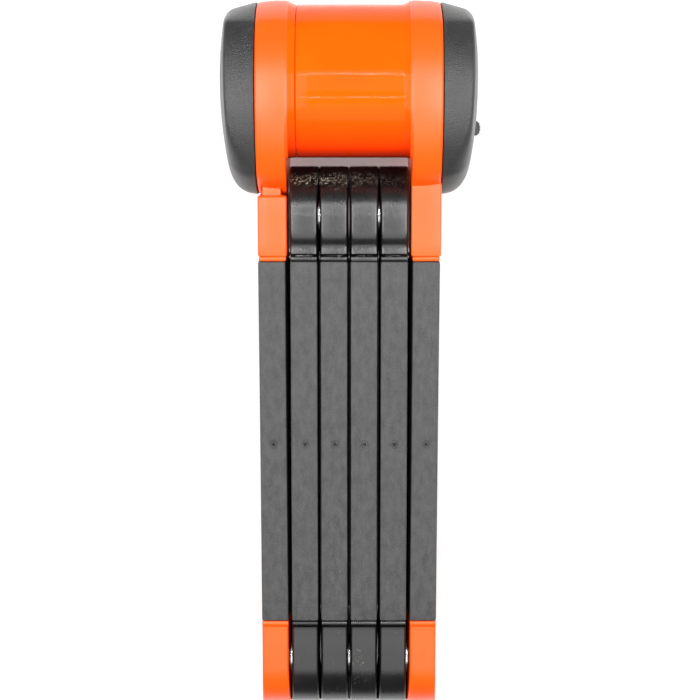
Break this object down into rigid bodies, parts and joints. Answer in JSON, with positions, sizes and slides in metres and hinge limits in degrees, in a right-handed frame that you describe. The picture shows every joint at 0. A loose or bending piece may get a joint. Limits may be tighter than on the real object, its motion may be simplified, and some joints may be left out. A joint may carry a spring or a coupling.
{
  "type": "folding bike lock",
  "caption": "Folding bicycle lock: riveted steel links in plastic sleeves, folded flat side by side under a barrel-shaped lock head with a keyed end and rubber bumpers.",
  "frame": {"origin": "middle of the folded lock across and along, at the level of the head's back, on which it lies", "axes": "+X across the stack of links towards the keyed end, +Y along the folded links towards the lock head, +Z from the head's back to its front"},
  "size_m": [0.0811, 0.2261, 0.0538],
  "materials": {
    "orange_shell": "glossy moulded orange, smooth",
    "grey_cover": "matte charcoal sleeve, fine grain",
    "black_cap": "satin black moulded end",
    "bumper_rubber": "matte dark grey soft-touch moulding",
    "hardened_steel": "hardened plate, dull grey",
    "bright_steel": "bright turned steel",
    "brass": "turned brass"
  },
  "bodies": {
    "head": {"lock_case": "hardened_steel", "housing_main_shell": "orange_shell", "housing_socket_shell": "orange_shell", "bumper_left": "bumper_rubber", "bumper_right": "bumper_rubber", "end_plate": "hardened_steel", "end_plate_screw_1": "bright_steel", "end_plate_screw_2": "bright_steel", "cylinder_sleeve": "brass", "cylinder_roll_pin": "bright_steel", "drill_guard_plate": "hardened_steel", "detent_ball": "bright_steel", "detent_spring": "bright_steel", "anchor_pin_1": "bright_steel", "anchor_pin_2": "bright_steel", "link_f_plate": "hardened_steel", "link_f_cover": "grey_cover", "link_f_lower_cap": "orange_shell", "rivet_ef": "bright_steel", "washer_ef": "bright_steel"},
    "link_e": {"link_e_plate": "hardened_steel", "link_e_cover": "grey_cover", "link_e_upper_cap": "black_cap", "link_e_lower_cap": "black_cap", "rivet_de": "bright_steel", "washer_de": "bright_steel"},
    "link_d": {"link_d_plate": "hardened_steel", "link_d_cover": "grey_cover", "link_d_upper_cap": "black_cap", "link_d_lower_cap": "black_cap", "rivet_cd": "bright_steel", "washer_cd": "bright_steel"},
    "link_c": {"link_c_plate": "hardened_steel", "link_c_cover": "grey_cover", "link_c_upper_cap": "black_cap", "link_c_lower_cap": "black_cap", "rivet_bc": "bright_steel", "washer_bc": "bright_steel"},
    "link_b": {"link_b_plate": "hardened_steel", "link_b_cover": "grey_cover", "link_b_upper_cap": "black_cap", "link_b_lower_cap": "black_cap", "rivet_ab": "bright_steel", "washer_ab": "bright_steel"},
    "link_a": {"link_a_plate": "hardened_steel", "link_a_cover": "grey_cover", "link_a_upper_cap": "orange_shell", "link_a_lower_cap": "orange_shell"},
    "plug": {"plug": "brass", "lock_disc_1": "brass", "lock_disc_2": "brass", "lock_disc_3": "brass", "lock_disc_4": "brass", "sidebar": "bright_steel", "plug_retaining_ring": "bright_steel", "cam_drum": "hardened_steel"},
    "bolt": {"locking_bolt": "hardened_steel", "bolt_follower_pin": "bright_steel"},
    "dust_cover": {"dust_cover": "bumper_rubber"}
  },
  "joints": [
    {"name": "unfold_ef", "type": "hinge", "parent": "head", "child": "link_e", "pos_m": [0, -0.0981, 0.027], "axis": [1, 0, 0], "range_deg": [0, 120]},
    {"name": "unfold_de", "type": "hinge", "parent": "link_e", "child": "link_d", "pos_m": [0, 0.0469, 0.027], "axis": [1, 0, 0], "range_deg": [-180, 0]},
    {"name": "unfold_cd", "type": "hinge", "parent": "link_d", "child": "link_c", "pos_m": [0, -0.0981, 0.027], "axis": [1, 0, 0], "range_deg": [-60, 0]},
    {"name": "unfold_bc", "type": "hinge", "parent": "link_c", "child": "link_b", "pos_m": [0, 0.0469, 0.027], "axis": [1, 0, 0], "range_deg": [0, 180]},
    {"name": "unfold_ab", "type": "hinge", "parent": "link_b", "child": "link_a", "pos_m": [0, -0.0981, 0.027], "axis": [1, 0, 0], "range_deg": [-60, 0]},
    {"name": "plug_turn", "type": "hinge", "parent": "head", "child": "plug", "pos_m": [0, 0.0807, 0.027], "axis": [1, 0, 0], "range_deg": [0, 90]},
    {"name": "bolt_slide", "type": "slide", "parent": "head", "child": "bolt", "axis": [-1, 0, 0], "range_m": [0, 0.0077]},
    {"name": "dust_cover_turn", "type": "hinge", "parent": "head", "child": "dust_cover", "pos_m": [0, 0.0861, 0.027], "axis": [-1, 0, 0], "range_deg": [0, 90]}
  ],
  "couplings": [
    {"joint": "unfold_de", "follows": "unfold_ef", "ratio": -1.5},
    {"joint": "unfold_cd", "follows": "unfold_ef", "ratio": -0.5},
    {"joint": "unfold_bc", "follows": "unfold_ef", "ratio": 1.5},
    {"joint": "unfold_ab", "follows": "unfold_ef", "ratio": -0.5},
    {"joint": "bolt_slide", "follows": "plug_turn", "m_per_rad": 0.0048383}
  ]
}
